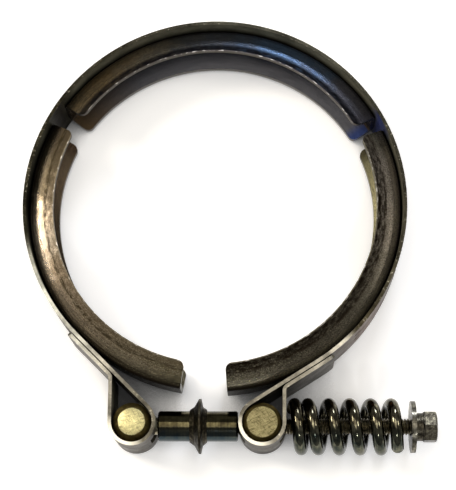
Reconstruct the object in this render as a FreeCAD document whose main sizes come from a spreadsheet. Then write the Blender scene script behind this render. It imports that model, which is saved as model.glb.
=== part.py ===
import FreeCAD, Part
import math
import os
import Sketcher

# V band clamp, millimetres and degrees.
# Origin: centre of the clamped ring at half the strap's width.
# +Z runs along the ring's axis, and the clamping bolt lies along X on the -Y side.

SIZES = [
    # strap: one strip, bent round the ring and looped back at both ends
    ("strap_outer_radius", 68.0),
    ("strap_thickness", 1.2),
    ("strap_width", 25.0),
    ("loop_bore_radius", 7.0),
    ("tab_gap", 0.4),
    ("tab_bend_radius", 2.6),
    ("left_tab_angle", 2.2),
    ("right_tab_angle", 5.0),
    ("tab_corner_radius", 1.8),
    ("bolt_slot_width", 8.2),
    ("bolt_slot_above", 9.0),
    ("bolt_slot_below", 5.5),
    # spot welds between each tab and the strap
    ("weld_radius", 1.9),
    ("weld_sink", 0.3),
    ("weld_rise", 7.0),
    ("weld_pitch", 6.5),
    ("weld_from_bend", 5.0),
    # V-section retainers
    ("retainer_seat_gap", 0.1),
    ("retainer_thickness", 1.8),
    ("retainer_web_width", 14.0),
    ("retainer_depth", 9.2),
    ("retainer_leg_angle", 20.0),
    ("retainer_inner_bend", 1.0),
    ("retainer_corner_radius", 2.4),
    ("top_retainer_start_angle", 29.9),
    ("top_retainer_span_angle", 115.7),
    ("left_retainer_start_angle", 152.5),
    ("left_retainer_span_angle", 107.5),
    ("right_retainer_start_angle", 274.1),
    ("right_retainer_span_angle", 111.1),
    # clamping bolt and what it carries
    ("bolt_below_ring", 10.0),
    ("bolt_radius", 3.0),
    ("bolt_end_chamfer", 0.8),
    ("head_reach", 27.8),
    ("pin_reach", 17.0),
    ("pivot_clearance", 0.3),
    ("pivot_recess", 0.2),
    ("head_chamfer", 2.0),
    ("pin_chamfer", 1.4),
    ("pin_hole_clearance", 0.3),
    ("sleeve_radius", 5.3),
    ("sleeve_bore_clearance", 0.1),
    ("seat_clearance", 0.3),
    ("sleeve_end_chamfer", 0.5),
    ("collar_from_sleeve_end", 11.0),
    ("collar_width", 6.0),
    ("collar_peak_radius", 9.6),
    ("collar_peak_offset", 3.2),
    ("collar_peak_width", 0.8),
    ("collar_fit_clearance", 0.03),
    ("collar_waist_share", 0.35),
    ("collar_lip", 0.4),
    ("spring_radius", 10.0),
    ("wire_radius", 2.2),
    ("spring_open_pitch", 7.25),
    ("spring_open_turns", 4.0),
    ("spring_closed_turns_left", 1.1),
    ("spring_closed_turns_right", 0.45),
    ("coil_gap", 0.15),
    ("spring_slack", 2.5),
    ("washer_radius", 9.0),
    ("washer_thickness", 1.6),
    ("washer_bore_clearance", 0.25),
    ("nut_flats", 10.0),
    ("nut_hex_length", 4.9),
    ("nut_collar_length", 2.6),
    ("nut_collar_radius", 4.9),
    ("nut_collar_bevel", 0.4),
    ("nut_chamfer", 1.0),
    ("nut_thread_clearance", 0.05),
    ("bolt_end_recess", 0.3),
]

doc = FreeCAD.newDocument("v_band_clamp")
sheet = doc.addObject("Spreadsheet::Sheet", "Sizes")
for row, (name, value) in enumerate(SIZES, start=1):
    sheet.set("A%d" % row, name)
    sheet.set("B%d" % row, str(value))
    sheet.setAlias("B%d" % row, name)
doc.recompute()
S = dict(SIZES)

# Places that several pieces share, as formulas of the sheet's cells.
bolt_drop = "(Sizes.strap_outer_radius + Sizes.bolt_below_ring)"
strap_inner = "(Sizes.strap_outer_radius - Sizes.strap_thickness)"
retainer_outer = "(%s - Sizes.retainer_seat_gap)" % strap_inner
retainer_inner = "(%s - Sizes.retainer_depth)" % retainer_outer
loop_outer = "(Sizes.loop_bore_radius + Sizes.strap_thickness)"
sleeve_start = "(-Sizes.head_reach + %s + Sizes.seat_clearance)" % loop_outer
sleeve_end = "(Sizes.pin_reach - %s - Sizes.seat_clearance)" % loop_outer
spring_start = "(Sizes.pin_reach + %s + Sizes.seat_clearance)" % loop_outer
closed_pitch = "(2 * Sizes.wire_radius + Sizes.coil_gap)"
spring_length = (
    "((Sizes.spring_closed_turns_left + Sizes.spring_closed_turns_right) * %s"
    " + Sizes.spring_open_turns * Sizes.spring_open_pitch + 2 * Sizes.wire_radius)" % closed_pitch
)
washer_start = "(%s + %s + Sizes.spring_slack)" % (spring_start, spring_length)
nut_start = "(%s + Sizes.washer_thickness)" % washer_start
nut_length = "(Sizes.nut_collar_length + Sizes.nut_hex_length)"
pivot_length = "(Sizes.strap_width - 2 * Sizes.pivot_recess)"
pivot_radius = "(Sizes.loop_bore_radius - Sizes.pivot_clearance)"


def value_of(formula):
    """The number that a formula of the sheet's cells gives."""
    return float(sheet.evalExpression(formula))


def attach(sketch, body, role):
    plane = next(part for part in body.Origin.OriginFeatures if part.Role == role)
    sketch.AttachmentSupport = [(plane, "")]
    sketch.MapMode = "FlatFace"


def bind(sketch, constraint, formula):
    """Adds a dimension to the sketch and ties it to the sheet."""
    index = sketch.addConstraint(constraint)
    sketch.setExpression("Constraints[%d]" % index, formula)


def outline(body, name, role, corners):
    """A closed outline of straight edges, with each corner placed by two formulas."""
    sketch = body.newObject("Sketcher::SketchObject", name)
    attach(sketch, body, role)
    places = [FreeCAD.Vector(value_of(across), value_of(up), 0) for across, up in corners]
    for start, end in zip(places, places[1:] + places[:1]):
        sketch.addGeometry(Part.LineSegment(start, end), False)
    for edge in range(len(corners)):
        following = (edge + 1) % len(corners)
        sketch.addConstraint(Sketcher.Constraint("Coincident", edge, 2, following, 1))
    for edge, (across, up) in enumerate(corners):
        bind(sketch, Sketcher.Constraint("DistanceX", -1, 1, edge, 1, places[edge].x), across)
        bind(sketch, Sketcher.Constraint("DistanceY", -1, 1, edge, 1, places[edge].y), up)
    return sketch


def turned(body, name, role, axis_role, corners, kind="PartDesign::Revolution", angle="360"):
    """Revolves an outline about one of the body's own axes, to add or to cut."""
    sketch = outline(body, name + "_outline", role, corners)
    feature = body.newObject(kind, name)
    feature.Profile = sketch
    axis = next(part for part in body.Origin.OriginFeatures if part.Role == axis_role)
    feature.ReferenceAxis = (axis, [""])
    feature.setExpression("Angle", angle)
    return feature


def new_body(label, across="0", along="0", angle=None):
    """A body whose origin sits at a place on the clamp, turned about Z where an angle is given."""
    body = doc.addObject("PartDesign::Body", label)
    body.Label = label
    body.setExpression(".Placement.Base.x", across)
    body.setExpression(".Placement.Base.y", along)
    if angle:
        body.setExpression(".Placement.Rotation.Angle", angle)
    return body


def edges_where(shape, test):
    """Names of the edges whose middle point passes the test."""
    names = []
    for number, edge in enumerate(shape.Edges, start=1):
        middle = edge.valueAt((edge.FirstParameter + edge.LastParameter) / 2)
        if test(edge, middle):
            names.append("Edge%d" % number)
    return names


def rounded(body, name, base, edges, radius):
    fillet = body.newObject("PartDesign::Fillet", name)
    fillet.Base = (base, edges)
    fillet.setExpression("Radius", radius)
    return fillet


# Strap
def direction(angle):
    return FreeCAD.Vector(math.cos(angle), math.sin(angle), 0)


def strap_side(side, reach, wrap):
    """Lines and arcs of one end of the strap's ring-side face, from the ring to the free end.

    side is -1 for the bolt head's loop and +1 for the trunnion pin's loop.
    """
    ring_radius = S["strap_outer_radius"]
    loop_radius = S["loop_bore_radius"]
    bend_radius = S["tab_bend_radius"]
    centre = FreeCAD.Vector(side * reach, -value_of(bolt_drop), 0)
    swing = math.acos((ring_radius + loop_radius) / centre.Length)
    leave = math.atan2(centre.y, centre.x) + side * swing
    outward = direction(leave)
    ring_point = outward * ring_radius
    loop_point = centre - outward * loop_radius
    back = (ring_point - loop_point).normalize()
    tab_point = ring_point + outward * S["tab_gap"]
    riser_foot = centre + FreeCAD.Vector(side * loop_radius, 0, 0)
    climb = (tab_point.y - riser_foot.y) + (riser_foot.x - tab_point.x) * back.y / back.x
    corner = riser_foot + FreeCAD.Vector(0, climb, 0)
    turn = math.acos(back.y)
    setback = bend_radius * math.tan(turn / 2)
    bend_centre = corner + FreeCAD.Vector(side * bend_radius, -setback, 0)
    loop_angle = leave + math.pi
    axis = FreeCAD.Vector(0, 0, 1)

    def arc(middle, radius, first, last):
        low, high = sorted((first, last))
        return Part.ArcOfCircle(Part.Circle(middle, axis, radius), low, high)

    toward_riser = math.pi if side < 0 else 2 * math.pi
    facing = 0 if side > 0 else 2 * math.pi
    bend_start = math.pi if side > 0 else 0
    return {
        "leave": leave,
        "outward": outward,
        "back": back,
        "corner": corner,
        "edges": [
            Part.LineSegment(ring_point, loop_point),
            arc(centre, loop_radius, loop_angle % (2 * math.pi) + facing, toward_riser),
            Part.LineSegment(riser_foot, corner - FreeCAD.Vector(0, setback, 0)),
            arc(bend_centre, bend_radius, bend_start, bend_start - side * turn),
            Part.LineSegment(corner + back * setback, tab_point),
            arc(
                FreeCAD.Vector(0, 0, 0),
                ring_radius + S["tab_gap"],
                leave,
                leave + side * math.radians(wrap),
            ),
        ],
    }


def join_tangent(sketch, one, other):
    """Joins two edges smoothly at the ends that already meet."""
    for first in (1, 2):
        for second in (1, 2):
            if sketch.getPoint(one, first).distanceToPoint(sketch.getPoint(other, second)) < 1e-5:
                sketch.addConstraint(Sketcher.Constraint("Tangent", one, first, other, second))


path = doc.addObject("Sketcher::SketchObject", "strap_path")
sides = {
    -1: strap_side(-1, S["head_reach"], S["left_tab_angle"]),
    1: strap_side(1, S["pin_reach"], S["right_tab_angle"]),
}
ring_circle = Part.Circle(FreeCAD.Vector(0, 0, 0), FreeCAD.Vector(0, 0, 1), S["strap_outer_radius"])
ring_start = sides[1]["leave"]
ring_finish = sides[-1]["leave"] % (2 * math.pi)
ring = path.addGeometry(Part.ArcOfCircle(ring_circle, ring_start, ring_finish), False)
path.addConstraint(Sketcher.Constraint("Coincident", ring, 3, -1, 1))
bind(path, Sketcher.Constraint("Radius", ring, S["strap_outer_radius"]), "Sizes.strap_outer_radius")
reaches = {-1: "-Sizes.head_reach", 1: "Sizes.pin_reach"}
wraps = {-1: "left_tab_angle", 1: "right_tab_angle"}
for side, end in sides.items():
    run, loop, riser, bend, tab, wrap = [path.addGeometry(edge, False) for edge in end["edges"]]
    for one, other in ((ring, run), (run, loop), (loop, riser), (riser, bend), (bend, tab), (tab, wrap)):
        join_tangent(path, one, other)
    path.addConstraint(Sketcher.Constraint("Vertical", riser))
    path.addConstraint(Sketcher.Constraint("Parallel", tab, run))
    path.addConstraint(Sketcher.Constraint("Coincident", wrap, 3, -1, 1))
    tab_radius = S["strap_outer_radius"] + S["tab_gap"]
    bind(path, Sketcher.Constraint("Radius", wrap, tab_radius), "Sizes.strap_outer_radius + Sizes.tab_gap")
    wrap_angle = math.radians(S[wraps[side]])
    bind(path, Sketcher.Constraint("Angle", wrap, wrap_angle), "Sizes.%s * 1 deg" % wraps[side])
    bind(path, Sketcher.Constraint("Radius", bend, S["tab_bend_radius"]), "Sizes.tab_bend_radius")
    bind(path, Sketcher.Constraint("Radius", loop, S["loop_bore_radius"]), "Sizes.loop_bore_radius")
    reach = value_of(reaches[side])
    bind(path, Sketcher.Constraint("DistanceX", -1, 1, loop, 3, reach), reaches[side])
    bind(path, Sketcher.Constraint("DistanceY", -1, 1, loop, 3, -value_of(bolt_drop)), "-" + bolt_drop)

section = doc.addObject("Part::Offset2D", "strap_section")
section.Source = path
section.Mode = "Skin"
section.setExpression("Value", "-Sizes.strap_thickness")
section.Fill = True
strip = doc.addObject("Part::Extrusion", "strap_strip")
strip.Base = section
strip.DirMode = "Normal"
strip.Solid = True
strip.Symmetric = True
strip.setExpression("LengthFwd", "Sizes.strap_width")

# Slots that let the bolt through the loops: one wall at the head, both walls at the pin
slots = []
for side, reach in reaches.items():
    slot = doc.addObject("Part::Box", "slot_head" if side < 0 else "slot_pin")
    start = reach if side < 0 else "%s - %s - Sizes.strap_thickness" % (reach, loop_outer)
    length = "%s + Sizes.strap_thickness" % loop_outer
    slot.setExpression("Length", length if side < 0 else "2 * (%s)" % length)
    slot.setExpression("Width", "Sizes.bolt_slot_above + Sizes.bolt_slot_below")
    slot.setExpression("Height", "Sizes.bolt_slot_width")
    slot.setExpression(".Placement.Base.x", start)
    slot.setExpression(".Placement.Base.y", "-%s - Sizes.bolt_slot_below" % bolt_drop)
    slot.setExpression(".Placement.Base.z", "-Sizes.bolt_slot_width / 2")
    slots.append(slot)

# Spot welds, two rows of two on each tab
welds = []
for side, end in sides.items():
    for column in range(2):
        along = S["weld_from_bend"] + column * S["weld_pitch"]
        foot = end["corner"] + end["back"] * along
        foot = foot - end["outward"] * (S["tab_gap"] + S["weld_sink"])
        for row in (-1, 1):
            weld = doc.addObject("Part::Cylinder", "weld")
            weld.setExpression("Radius", "Sizes.weld_radius")
            weld.setExpression("Height", "Sizes.tab_gap + 2 * Sizes.weld_sink")
            lift = FreeCAD.Vector(0, 0, row * S["weld_rise"])
            turn = FreeCAD.Rotation(FreeCAD.Vector(0, 0, 1), end["outward"])
            weld.Placement = FreeCAD.Placement(foot + lift, turn)
            welds.append(weld)

slotted = doc.addObject("Part::Cut", "strap_slotted")
slotted.Base = strip
slot_pair = doc.addObject("Part::MultiFuse", "slot_pair")
slot_pair.Shapes = slots
slotted.Tool = slot_pair
welded = doc.addObject("Part::MultiFuse", "strap_welded")
welded.Shapes = [slotted] + welds
doc.recompute()


def at_tab_end(edge, middle):
    """True for the four corner edges of the strip's two free ends."""
    for side, end in sides.items():
        tip = end["leave"] + side * math.radians(S[wraps[side]])
        flat = FreeCAD.Vector(middle.x, middle.y, 0)
        over = flat.dot(direction(tip)) - S["strap_outer_radius"] - S["tab_gap"]
        beside = abs(flat.dot(direction(tip + math.pi / 2)))
        corner = abs(abs(middle.z) - S["strap_width"] / 2) < 1e-4
        if corner and beside < 1e-3 and 0 < over < S["strap_thickness"]:
            return True
    return False


strap = doc.addObject("Part::Fillet", "strap")
strap.Base = welded
corner_edges = edges_where(welded.Shape, at_tab_end)
strap.Edges = [(int(name[4:]), S["tab_corner_radius"], S["tab_corner_radius"]) for name in corner_edges]
strap.Label = "strap"


# Retainers: bent V channels spot welded inside the strap
leg_slope = "tan(Sizes.retainer_leg_angle * 1 deg)"
leg_wall = "(Sizes.retainer_thickness / cos(Sizes.retainer_leg_angle * 1 deg))"
half_web = "(Sizes.retainer_web_width / 2)"
half_mouth = "(%s + Sizes.retainer_depth * %s)" % (half_web, leg_slope)
half_floor = "(%s + Sizes.retainer_thickness * %s - %s)" % (half_web, leg_slope, leg_wall)
floor_radius = "(%s - Sizes.retainer_thickness)" % retainer_outer
V_SECTION = [
    (retainer_outer, "-" + half_web),
    (retainer_outer, half_web),
    (retainer_inner, half_mouth),
    (retainer_inner, "%s - %s" % (half_mouth, leg_wall)),
    (floor_radius, half_floor),
    (floor_radius, "-" + half_floor),
    (retainer_inner, "%s - %s" % (leg_wall, half_mouth)),
    (retainer_inner, "-" + half_mouth),
]


def make_retainer(label):
    body = new_body(label, angle="Sizes.%s_start_angle" % label)
    ring_part = turned(
        body, label + "_channel", "XZ_Plane", "Z_Axis", V_SECTION, angle="Sizes.%s_span_angle" % label
    )
    doc.recompute()
    outer = value_of(retainer_outer)
    floor = value_of(floor_radius)
    inner = value_of(retainer_inner)

    def radius_of(point):
        return math.hypot(point.x, point.y)

    def long_edge(radius, height):
        return lambda edge, middle: (
            abs(radius_of(middle) - radius) < 1e-3
            and abs(abs(middle.z) - height) < 1e-3
            and edge.Length > S["retainer_depth"]
        )

    web_edges = edges_where(ring_part.Shape, long_edge(outer, value_of(half_web)))
    outside = rounded(
        body, label + "_outer_bends", ring_part, web_edges,
        "Sizes.retainer_inner_bend + Sizes.retainer_thickness",
    )
    doc.recompute()
    floor_edges = edges_where(outside.Shape, long_edge(floor, value_of(half_floor)))
    inside = rounded(body, label + "_inner_bends", outside, floor_edges, "Sizes.retainer_inner_bend")
    doc.recompute()

    def leg_corner(edge, middle):
        span = edge.Length < 1.2 * S["retainer_thickness"] / math.cos(math.radians(S["retainer_leg_angle"]))
        return span and abs(radius_of(middle) - inner) < 1e-3

    corners = edges_where(inside.Shape, leg_corner)
    rounded(body, label + "_leg_corners", inside, corners, "Sizes.retainer_corner_radius")
    return body


retainers = [make_retainer(name) for name in ("top_retainer", "left_retainer", "right_retainer")]


# Clamping bolt: a cross pin head that turns in the left loop, and a threaded shank
def pin_section(chamfer):
    half = pivot_length + " / 2"
    edge = "%s - Sizes.%s" % (pivot_radius, chamfer)
    rise = "%s - Sizes.%s" % (half, chamfer)
    return [
        ("0", "-" + half),
        (edge, "-" + half),
        (pivot_radius, "-(%s)" % rise),
        (pivot_radius, rise),
        (edge, half),
        ("0", half),
    ]


bolt_tip = "(Sizes.head_reach + %s + %s - Sizes.bolt_end_recess)" % (nut_start, nut_length)
bolt = new_body("t_bolt", "-Sizes.head_reach", "-" + bolt_drop)
turned(bolt, "bolt_head", "XZ_Plane", "Z_Axis", pin_section("head_chamfer"))
turned(bolt, "bolt_shank", "XY_Plane", "X_Axis", [
    ("0", "0"),
    (bolt_tip, "0"),
    (bolt_tip, "Sizes.bolt_radius - Sizes.bolt_end_chamfer"),
    ("%s - Sizes.bolt_end_chamfer" % bolt_tip, "Sizes.bolt_radius"),
    ("0", "Sizes.bolt_radius"),
])

# Trunnion pin: the cross pin in the right loop, drilled for the bolt
pin = new_body("trunnion_pin", "Sizes.pin_reach", "-" + bolt_drop)
turned(pin, "pin_barrel", "XZ_Plane", "Z_Axis", pin_section("pin_chamfer"))
drill_radius = "Sizes.bolt_radius + Sizes.pin_hole_clearance"
drill_reach = "%s + Sizes.pin_chamfer" % pivot_radius
turned(pin, "pin_hole", "XY_Plane", "X_Axis", [
    ("-(%s)" % drill_reach, "0"),
    (drill_reach, "0"),
    (drill_reach, drill_radius),
    ("-(%s)" % drill_reach, drill_radius),
], kind="PartDesign::Groove")


def ring_body(label, corners):
    """A piece turned about the bolt's axis."""
    body = new_body(label, along="-" + bolt_drop)
    turned(body, label + "_turning", "XY_Plane", "X_Axis", corners)
    return body


# Sleeve on the bolt between the two loops
sleeve_bore = "Sizes.bolt_radius + Sizes.sleeve_bore_clearance"
sleeve_rim = "Sizes.sleeve_radius - Sizes.sleeve_end_chamfer"
sleeve = ring_body("spacer_sleeve", [
    (sleeve_start, sleeve_bore),
    (sleeve_end, sleeve_bore),
    (sleeve_end, sleeve_rim),
    ("%s - Sizes.sleeve_end_chamfer" % sleeve_end, "Sizes.sleeve_radius"),
    ("%s + Sizes.sleeve_end_chamfer" % sleeve_start, "Sizes.sleeve_radius"),
    (sleeve_start, sleeve_rim),
])

# Conical collar on the sleeve, steeper on the pin's side
collar_start = "(%s + Sizes.collar_from_sleeve_end)" % sleeve_start
collar_bore = "Sizes.sleeve_radius + Sizes.collar_fit_clearance"
collar_peak = "(%s + Sizes.collar_peak_offset)" % collar_start
collar_rim = "%s + Sizes.collar_peak_width" % collar_peak
collar_end = "%s + Sizes.collar_width" % collar_start
collar_waist = (
    "Sizes.sleeve_radius"
    " + Sizes.collar_waist_share * (Sizes.collar_peak_radius - Sizes.sleeve_radius)"
)
collar_lip = "%s + Sizes.collar_lip" % collar_bore
collar = ring_body("conical_collar", [
    (collar_start, collar_bore),
    (collar_end, collar_bore),
    (collar_end, collar_lip),
    ("%s + 0.5 * (Sizes.collar_width - Sizes.collar_peak_offset)" % collar_peak, collar_waist),
    (collar_rim, "Sizes.collar_peak_radius"),
    (collar_peak, "Sizes.collar_peak_radius"),
    ("%s + 0.5 * Sizes.collar_peak_offset" % collar_start, collar_waist),
    (collar_start, collar_lip),
])


# Compression spring: open coils in the middle and one closed coil at each end
spring_middle = "(Sizes.spring_open_turns * Sizes.spring_open_pitch)"
open_start = "(%s + Sizes.wire_radius + Sizes.spring_closed_turns_left * %s)" % (spring_start, closed_pitch)
spring = new_body("compression_spring", open_start, "-" + bolt_drop)


def coil(name, along, pitch, turns, backwards):
    """One stretch of the wire, wound about X from a round section on the XY plane."""
    sketch = spring.newObject("Sketcher::SketchObject", name + "_wire")
    attach(sketch, spring, "XY_Plane")
    coil_radius = "Sizes.spring_radius - Sizes.wire_radius"
    centre = FreeCAD.Vector(value_of(along), value_of(coil_radius), 0)
    circle = Part.Circle(centre, FreeCAD.Vector(0, 0, 1), S["wire_radius"])
    wire = sketch.addGeometry(circle, False)
    bind(sketch, Sketcher.Constraint("Radius", wire, S["wire_radius"]), "Sizes.wire_radius")
    bind(sketch, Sketcher.Constraint("DistanceX", -1, 1, wire, 3, centre.x), along)
    bind(sketch, Sketcher.Constraint("DistanceY", -1, 1, wire, 3, centre.y), coil_radius)
    helix = spring.newObject("PartDesign::AdditiveHelix", name)
    helix.Profile = sketch
    axis = next(part for part in spring.Origin.OriginFeatures if part.Role == "X_Axis")
    helix.ReferenceAxis = (axis, [""])
    helix.Mode = "pitch-turns-angle"
    helix.setExpression("Pitch", pitch)
    helix.setExpression("Turns", turns)
    helix.Reversed = backwards
    doc.recompute()


coil("open_coils", "0", "Sizes.spring_open_pitch", "Sizes.spring_open_turns", False)
coil("left_closed_coil", "0", closed_pitch, "Sizes.spring_closed_turns_left", True)
coil("right_closed_coil", spring_middle, closed_pitch, "Sizes.spring_closed_turns_right", False)

# Washer
washer_bore = "Sizes.bolt_radius + Sizes.washer_bore_clearance"
washer = ring_body("thrust_washer", [
    (washer_start, washer_bore),
    (nut_start, washer_bore),
    (nut_start, "Sizes.washer_radius"),
    (washer_start, "Sizes.washer_radius"),
])

# Lock nut: a round collar on the washer's side and a hexagon with its rim turned off
nut_corner = "(Sizes.nut_flats / 2 / cos(30 deg))"
nut_bore = "Sizes.bolt_radius + Sizes.nut_thread_clearance"
nut_rim = "%s - Sizes.nut_chamfer" % nut_corner
bearing_rim = "Sizes.nut_collar_radius - Sizes.nut_collar_bevel"
turning = new_body("nut_turning", nut_start, "-" + bolt_drop)
turned(turning, "nut_profile", "XY_Plane", "X_Axis", [
    ("0", nut_bore),
    (nut_length, nut_bore),
    (nut_length, nut_rim),
    ("%s - Sizes.nut_chamfer / 2" % nut_length, nut_corner),
    ("Sizes.nut_collar_length + Sizes.nut_chamfer / 2", nut_corner),
    ("Sizes.nut_collar_length", nut_rim),
    ("Sizes.nut_collar_length", "Sizes.nut_collar_radius"),
    ("Sizes.nut_collar_bevel", "Sizes.nut_collar_radius"),
    ("0", bearing_rim),
])
along_bolt = FreeCAD.Rotation(FreeCAD.Vector(0, 1, 0), 90)


def stock_piece(kind, name, start, sizes):
    """A prism or cylinder of the nut's stock, laid along the bolt."""
    piece = doc.addObject(kind, name)
    for size, formula in sizes.items():
        piece.setExpression(size, formula)
    piece.Placement.Rotation = along_bolt
    piece.setExpression(".Placement.Base.x", start)
    piece.setExpression(".Placement.Base.y", "-" + bolt_drop)
    return piece


hexagon = stock_piece("Part::Prism", "nut_hexagon", "%s + Sizes.nut_collar_length" % nut_start, {
    "Circumradius": nut_corner,
    "Height": "Sizes.nut_hex_length",
})
stub = stock_piece("Part::Cylinder", "nut_stub", nut_start, {
    "Radius": "Sizes.nut_collar_radius",
    "Height": "Sizes.nut_collar_length",
})
stock = doc.addObject("Part::MultiFuse", "nut_stock")
stock.Shapes = [hexagon, stub]
nut = doc.addObject("Part::Common", "lock_nut")
nut.Base = turning
nut.Tool = stock
nut.Label = "lock_nut"

doc.recompute()

nodes = [strap] + retainers + [bolt, sleeve, collar, pin, spring, washer, nut]
for item in doc.Objects:
    if "Invalid" in item.State or "Error" in item.State:
        raise RuntimeError("%s did not build" % item.Label)
for node in nodes:
    if node.Shape.isNull() or not node.Shape.isValid() or len(node.Shape.Solids) != 1:
        raise RuntimeError("%s is not one valid solid" % node.Label)

os.makedirs("parts", exist_ok=True)
for node in nodes:
    node.Shape.exportStep("parts/%s.step" % node.Label)
    print("%-20s %8.1f mm3  %s" % (node.Label, node.Shape.Volume, node.Shape.BoundBox))
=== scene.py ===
import math

import bmesh
import bpy
from mathutils import Matrix, Vector


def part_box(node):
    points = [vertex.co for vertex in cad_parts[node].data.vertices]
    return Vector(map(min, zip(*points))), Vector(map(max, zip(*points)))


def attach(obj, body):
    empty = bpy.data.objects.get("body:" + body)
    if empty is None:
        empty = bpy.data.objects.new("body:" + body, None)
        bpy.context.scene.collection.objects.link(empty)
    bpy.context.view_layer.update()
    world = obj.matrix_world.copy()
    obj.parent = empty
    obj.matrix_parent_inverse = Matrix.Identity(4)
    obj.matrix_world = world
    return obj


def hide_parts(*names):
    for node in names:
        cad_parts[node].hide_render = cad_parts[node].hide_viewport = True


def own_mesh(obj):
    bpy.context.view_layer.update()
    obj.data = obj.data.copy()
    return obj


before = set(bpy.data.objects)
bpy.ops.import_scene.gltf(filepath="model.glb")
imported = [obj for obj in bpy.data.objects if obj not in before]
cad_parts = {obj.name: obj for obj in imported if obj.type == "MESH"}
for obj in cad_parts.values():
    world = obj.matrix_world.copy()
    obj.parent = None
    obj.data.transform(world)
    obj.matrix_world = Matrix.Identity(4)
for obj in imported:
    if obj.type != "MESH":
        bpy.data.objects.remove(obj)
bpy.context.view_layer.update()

# Places that the pieces share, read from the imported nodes
washerLow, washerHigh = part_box("thrust_washer")
springLow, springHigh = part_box("compression_spring")
strapLow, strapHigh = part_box("strap")
headLow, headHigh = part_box("t_bolt")
pinLow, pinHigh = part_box("trunnion_pin")
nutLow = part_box("lock_nut")[0]
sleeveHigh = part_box("spacer_sleeve")[1]
boltY = (washerLow.y + washerHigh.y) / 2
pinCentre = (pinLow.xy + pinHigh.xy) / 2
headCentre = Vector((headLow.x + pinCentre.x - pinLow.x, boltY))
ringRadius = strapHigh.x
halfWidth = strapHigh.z


def addNode(tree, kind, inputs=None, out=0, stops=None, **settings):
    # One node with its settings, values and links; gives back one of its outputs, or the node for out=None
    node = tree.nodes.new(kind)
    for name, value in settings.items():
        setattr(node, name, value)
    for key, value in (inputs or {}).items():
        if isinstance(value, bpy.types.NodeSocket):
            tree.links.new(value, node.inputs[key])
        else:
            node.inputs[key].default_value = value
    if stops:
        ends = node.color_ramp.elements
        ends[0].position, ends[0].color = stops[0]
        ends[1].position, ends[1].color = stops[-1]
        for place, colour in stops[1:-1]:
            ends.new(place).color = colour
    return node if out is None else node.outputs[out]


def linear(code):
    # sRGB hex to linear colour
    levels = [int(code[i:i + 2], 16) / 255 for i in (0, 2, 4)]
    return [c / 12.92 if c <= 0.04045 else ((c + 0.055) / 1.055) ** 2.4 for c in levels] + [1.0]


def perMm(size):
    # Texture scale for features of that size in millimetres, in object coordinates
    return 1000 / size


def startMaterial(name):
    material = bpy.data.materials.new(name)
    material.use_nodes = True
    tree = material.node_tree
    tree.nodes.clear()
    return material, tree, addNode(tree, "ShaderNodeTexCoord", out=None)


def finishMaterial(tree, colour, roughness, height, bumpMm, metallic=1.0, specular=0.5, paintedShade=0.85, paintedShadeMm=4.0):
    # Ends a material in its shader; painted shade darkens the metal's colour in narrow gaps, as far as they close it
    # in
    openness = addNode(tree, "ShaderNodeAmbientOcclusion", {"Distance": paintedShadeMm / 1000}, out=1, samples=8)
    shadeScale = addNode(tree, "ShaderNodeMapRange", {0: openness, 1: 0.15, 2: 0.75, 3: 1 - paintedShade, 4: 1.0})
    colour = addNode(tree, "ShaderNodeVectorMath", {0: colour, "Scale": shadeScale}, operation="SCALE")
    normal = addNode(tree, "ShaderNodeBump", {"Distance": bumpMm / 1000, "Height": height})
    surface = addNode(tree, "ShaderNodeBsdfPrincipled", {
        "Base Color": colour, "Metallic": metallic, "Roughness": roughness, "Normal": normal,
        "Specular IOR Level": specular,
    })
    addNode(tree, "ShaderNodeOutputMaterial", {"Surface": surface}, out=None)


def around(tree, coords):
    # Angle from -90 to 270 degrees, radius and height about the ring's axis, and how far a face looks away from it.
    # The angle starts and ends below the ring, where neither strap nor channel runs on.
    x, y, z = addNode(tree, "ShaderNodeSeparateXYZ", {0: coords.outputs["Object"]}, out=None).outputs
    angle = addNode(tree, "ShaderNodeMath", {0: y, 1: x}, operation="ARCTAN2")
    angle = addNode(tree, "ShaderNodeMath", {0: angle, 1: 1.5 * math.pi, 2: -0.5 * math.pi}, operation="WRAP")
    flat = addNode(tree, "ShaderNodeCombineXYZ", {0: x, 1: y})
    radius = addNode(tree, "ShaderNodeVectorMath", {0: flat}, out=1, operation="LENGTH")
    outwards = addNode(tree, "ShaderNodeVectorMath", {0: flat}, operation="NORMALIZE")
    facing = addNode(tree, "ShaderNodeVectorMath", {0: coords.outputs["Normal"], 1: outwards}, out=1,
                     operation="DOT_PRODUCT")
    return angle, radius, z, facing


def shareRound(tree, angle, start, span):
    # 0 to 1 anticlockwise along an arc given in degrees
    swept = addNode(tree, "ShaderNodeMath", {0: angle, 1: math.radians(start)}, operation="SUBTRACT")
    swept = addNode(tree, "ShaderNodeMath", {0: swept, 1: 2 * math.pi, 2: 0.0}, operation="WRAP")
    return addNode(tree, "ShaderNodeMath", {0: swept, 1: math.radians(span)}, operation="DIVIDE")


def near(tree, angle, middle, reach, most):
    # Greatest at one angle in degrees, fading out over the reach on both sides
    full = 0.03  # radians at full strength
    away = addNode(tree, "ShaderNodeMath", {0: angle, 1: math.radians(middle)}, operation="SUBTRACT")
    away = addNode(tree, "ShaderNodeMath", {0: away}, operation="ABSOLUTE")
    return addNode(tree, "ShaderNodeMapRange", {0: away, 1: full, 2: math.radians(reach), 3: most, 4: 0.0})


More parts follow.
